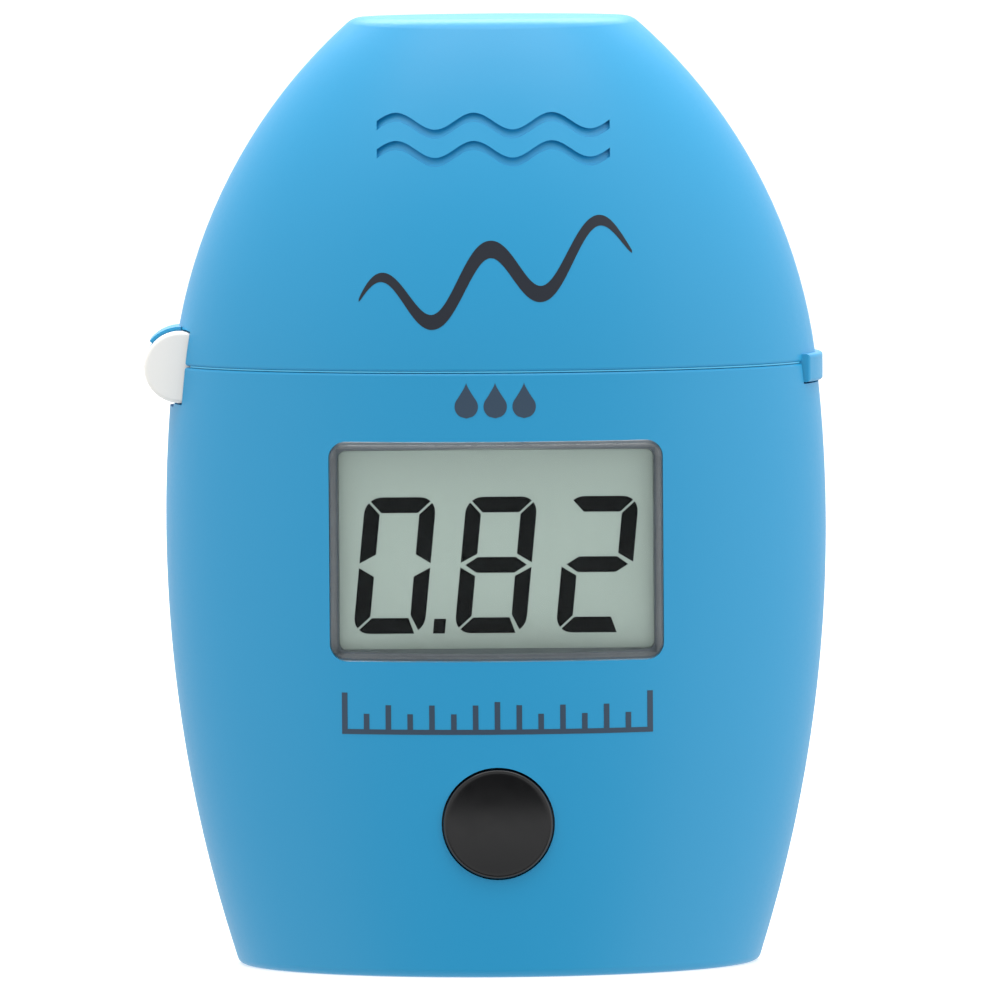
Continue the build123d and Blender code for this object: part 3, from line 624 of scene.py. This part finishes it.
def bar(x0, x1, z0, z1):
    """An upright rectangle as a strip, in steps short enough to follow the curve of the case."""
    steps = max(1, math.ceil((x1 - x0) / (0.6 * MM)))
    return [((x0 + (x1 - x0) * i / steps, z0), (x0 + (x1 - x0) * i / steps, z1)) for i in range(steps + 1)]


def scale_bars():
    """A plain graduated scale: a base line under rising bars."""
    low = CASE_LOW.z + 22.1 * MM
    half_width, line, half_bar = 14.0 * MM, 0.45 * MM, 0.25 * MM
    bars = [bar(-half_width, half_width, low, low + line)]
    count = 15
    reach = half_width - half_bar
    for i in range(count):
        x = -reach + 2 * reach * i / (count - 1)
        height = ((1.4 if i % 2 else 2.2) + (1.1 if i % 7 == 0 else 0.0)) * MM
        bars.append(bar(x - half_bar, x + half_bar, low + line, low + line + height))
    return bars


class TESTER_OT_button(bpy.types.Operator):
    """Turn the dished push button"""

    bl_idname = "tester.button"
    bl_label = "Button"

    def execute(self, context):
        colours = context.scene.tester_colours
        centre_x = (BUTTON_LOW.x + BUTTON_HIGH.x) / 2
        centre_z = (BUTTON_LOW.z + BUTTON_HIGH.z) / 2
        front, back = BUTTON_LOW.y, BUTTON_HIGH.y
        flange = (BUTTON_HIGH.x - BUTTON_LOW.x) / 2
        cap = 4.95 * MM
        rim = 0.3 * MM
        dish = 0.42 * MM
        inner = cap - 1.3 * rim
        ball = (inner ** 2 + dish ** 2) / (2 * dish)
        edge = math.degrees(math.asin(inner / ball))
        floor = front + dish - ball
        rings = [math.radians(edge * i / 24) for i in range(25)]
        bowl = [(ball * math.sin(angle), floor + ball * math.cos(angle)) for angle in rings]
        shoulder = arc((cap - rim, front + rim), rim, -90, 0, 8)
        ledge = back - 0.9 * MM
        profile = bowl + shoulder + [(cap, ledge), (flange, ledge), (flange, back), (0, back)]
        verts, faces = lathe(profile, (centre_x, centre_z), 128)
        black = polished_abs("Polished moulded ABS, black", colours.button, 0.22)
        made = piece("button_face", verts, faces, black, "button")
        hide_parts("button_cap")
        dress("switch_body", moulded_abs("Glass-filled nylon, black", "1c1c1e", 0.5))
        dress("switch_plunger", moulded_abs("Moulded acetal, white", "e4e2dc", 0.35))
        return {"FINISHED"}


class TESTER_OT_cuvette(bpy.types.Operator):
    """Finish the sample cuvette, its cap and its stopper"""

    bl_idname = "tester.cuvette"
    bl_label = "Cuvette"

    def execute(self, context):
        dress("cuvette_glass", lab_glass("Borosilicate glass"))
        dress("cuvette_cap", moulded_abs("Moulded polypropylene, black", "141518", 0.45))
        dress("cuvette_stopper", moulded_abs("Moulded polythene, white", "ecebe6", 0.5))
        return {"FINISHED"}


class TESTER_OT_electronics(bpy.types.Operator):
    """Finish the board, the light path and the battery"""

    bl_idname = "tester.electronics"
    bl_label = "Electronics"

    def execute(self, context):
        dress("circuit_board", solder_mask("Green solder mask"))
        chip = moulded_abs("Moulded chip epoxy", "202124", 0.6)
        for name in ("microcontroller", "amplifier_chip", "photodiode"):
            dress(name, chip)
        dress("board_parts", moulded_abs("Fired ceramic", "8f7b5c", 0.5, 0.15))
        dress("led_lamp", polished_abs("Cast epoxy, green", "6fbf86", 0.15))
        dress("light_filter", polished_abs("Coated filter glass", "1e8a4a", 0.08))
        nickel = sprung_metal("Nickel-plated spring steel", "cfcdc6", 0.22)
        for name in ("led_leads", "battery_plus_contact", "battery_minus_strip", "cap_contact"):
            dress(name, nickel)
        low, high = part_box("battery")
        dress("battery", battery_film("Printed shrink film", low.z, high.z))
        return {"FINISHED"}


def ramp_of(tree, source, low, high, stops):
    """A grey level that follows source from low to high through (value, level) stops."""
    span = add_node(tree, "ShaderNodeMapRange", {"From Min": low, "From Max": high}, {"Value": source})
    ramp = add_node(tree, "ShaderNodeValToRGB", links={"Fac": span.outputs["Result"]})
    while len(ramp.color_ramp.elements) < len(stops):
        ramp.color_ramp.elements.new(0.5)
    for element, (value, level) in zip(ramp.color_ramp.elements, stops):
        element.position = (value - low) / (high - low)
        element.color = (level, level, level, 1)
    return ramp.outputs["Color"]


def soft_studio():
    """A world lit by direction: bright to the sides, with a band at eye level in front over a dark floor."""
    world = bpy.data.worlds.new("Soft studio")
    world.use_nodes = True
    tree = world.node_tree
    tree.nodes.clear()
    way = add_node(tree, "ShaderNodeTexCoord").outputs["Generated"]
    axes = add_node(tree, "ShaderNodeSeparateXYZ", links={"Vector": way})
    front = ramp_of(tree, axes.outputs["Z"], -1.0, 1.0, (
        (-1.0, 0.06), (-0.21, 0.06), (-0.15, 0.52), (-0.1, 0.52),
        (0.1, 0.4), (0.5, 0.25), (0.75, 0.6), (1.0, 0.8),
    ))
    window = add_node(tree, "ShaderNodeVectorMath", {"operation": "DOT_PRODUCT"}, {"Vector": way})
    window.inputs[1].default_value = (0.906, -0.42, 0.0)
    sides = ramp_of(tree, window.outputs["Value"], -1.0, 1.0, ((-1.0, 0.56), (0.45, 0.56), (0.85, 0.72)))
    turn = ramp_of(tree, axes.outputs["Y"], -1.0, 1.0, ((-0.86, 0.0), (-0.62, 1.0)))
    mix = add_node(tree, "ShaderNodeMix", {"data_type": "RGBA"})
    for socket, source in zip((0, 6, 7), (turn, front, sides)):
        tree.links.new(source, mix.inputs[socket])
    back = add_node(tree, "ShaderNodeBackground", {"Strength": 2.0}, {"Color": mix.outputs[2]})
    add_node(tree, "ShaderNodeOutputWorld", links={"Surface": back.outputs[0]})
    return world


def softbox(name, place, size, power):
    """A rectangular light, width by depth, that points at the middle of the case."""
    lamp = bpy.data.lights.new(name, "AREA")
    lamp.shape = "RECTANGLE"
    lamp.size, lamp.size_y = size
    lamp.energy = power
    holder = bpy.data.objects.new(name, lamp)
    holder.location = place
    aim = Vector((0, 0, CASE_HIGH.z)) - holder.location
    holder.rotation_euler = aim.to_track_quat("-Z", "Y").to_euler()
    bpy.context.scene.collection.objects.link(holder)


class TESTER_OT_stage(bpy.types.Operator):
    """Set the table, the soft lights and the camera"""

    bl_idname = "tester.stage"
    bl_label = "Stage"

    def execute(self, context):
        size = context.scene.tester_sizes
        scene = context.scene
        scene.view_settings.view_transform = "Standard"
        scene.world = soft_studio()
        half = 12.0
        mesh = bpy.data.meshes.new("table")
        mesh.from_pydata(
            [(-half, -half, 0), (half, -half, 0), (half, half, 0), (-half, half, 0)], [], [(0, 1, 2, 3)]
        )
        table = bpy.data.objects.new("table", mesh)
        table.location.z = -0.01 * MM
        table.visible_glossy = False
        table.visible_diffuse = False
        scene.collection.objects.link(table)
        paper, tree, shader = new_material("White paper")
        shader.inputs["Base Color"].default_value = (0.55, 0.55, 0.55, 1)
        shader.inputs["Roughness"].default_value = 1.0
        shader.inputs["Specular IOR Level"].default_value = 0.0
        shader.inputs["Emission Color"].default_value = (1, 1, 1, 1)
        shader.inputs["Emission Strength"].default_value = 0.58
        mesh.materials.append(paper)
        softbox("overhead_box", (0.0, -0.21, 0.8), (0.8, 0.42), 3.2)
        softbox("rear_box", (0.0, 0.5, 0.8), (0.9, 0.6), 10.0)
        camera = bpy.data.cameras.new("camera")
        camera.sensor_width = 36.0
        camera.clip_start = 0.05
        camera.clip_end = 60.0
        holder = bpy.data.objects.new("camera", camera)
        target = Vector((0.37 * MM, 0, 42.1 * MM))
        holder.location = (target.x, -size.camera_distance, size.camera_height)
        look = target - holder.location
        camera.lens = camera.sensor_width * look.length / size.view_width
        holder.rotation_mode = "QUATERNION"
        roll = Quaternion((0, 0, 1), -size.camera_roll)
        holder.rotation_quaternion = look.to_track_quat("-Z", "Y") @ roll
        scene.collection.objects.link(holder)
        scene.camera = holder
        return {"FINISHED"}


class TESTER_PT_panel(bpy.types.Panel):
    """Lists the tester's operators"""

    bl_idname = "TESTER_PT_panel"
    bl_label = "Pocket Water Tester"
    bl_space_type = "VIEW_3D"
    bl_region_type = "UI"
    bl_category = "Tester"

    def draw(self, context):
        for operator in OPERATORS:
            self.layout.operator(operator.bl_idname)


OPERATORS = (
    TESTER_OT_case,
    TESTER_OT_chassis,
    TESTER_OT_display,
    TESTER_OT_marks,
    TESTER_OT_button,
    TESTER_OT_cuvette,
    TESTER_OT_electronics,
    TESTER_OT_stage,
)
CLASSES = (TesterSizes, TesterColours) + OPERATORS + (TESTER_PT_panel,)


def register():
    for cls in CLASSES:
        bpy.utils.register_class(cls)
    bpy.types.Scene.tester_sizes = PointerProperty(type=TesterSizes)
    bpy.types.Scene.tester_colours = PointerProperty(type=TesterColours)


def unregister():
    del bpy.types.Scene.tester_colours
    del bpy.types.Scene.tester_sizes
    for cls in reversed(CLASSES):
        bpy.utils.unregister_class(cls)


def main():
    register()
    bpy.ops.tester.case()
    bpy.ops.tester.chassis()
    bpy.ops.tester.display()
    bpy.ops.tester.marks()
    bpy.ops.tester.button()
    bpy.ops.tester.cuvette()
    bpy.ops.tester.electronics()
    bpy.ops.tester.stage()


if __name__ == "__main__":
    main()
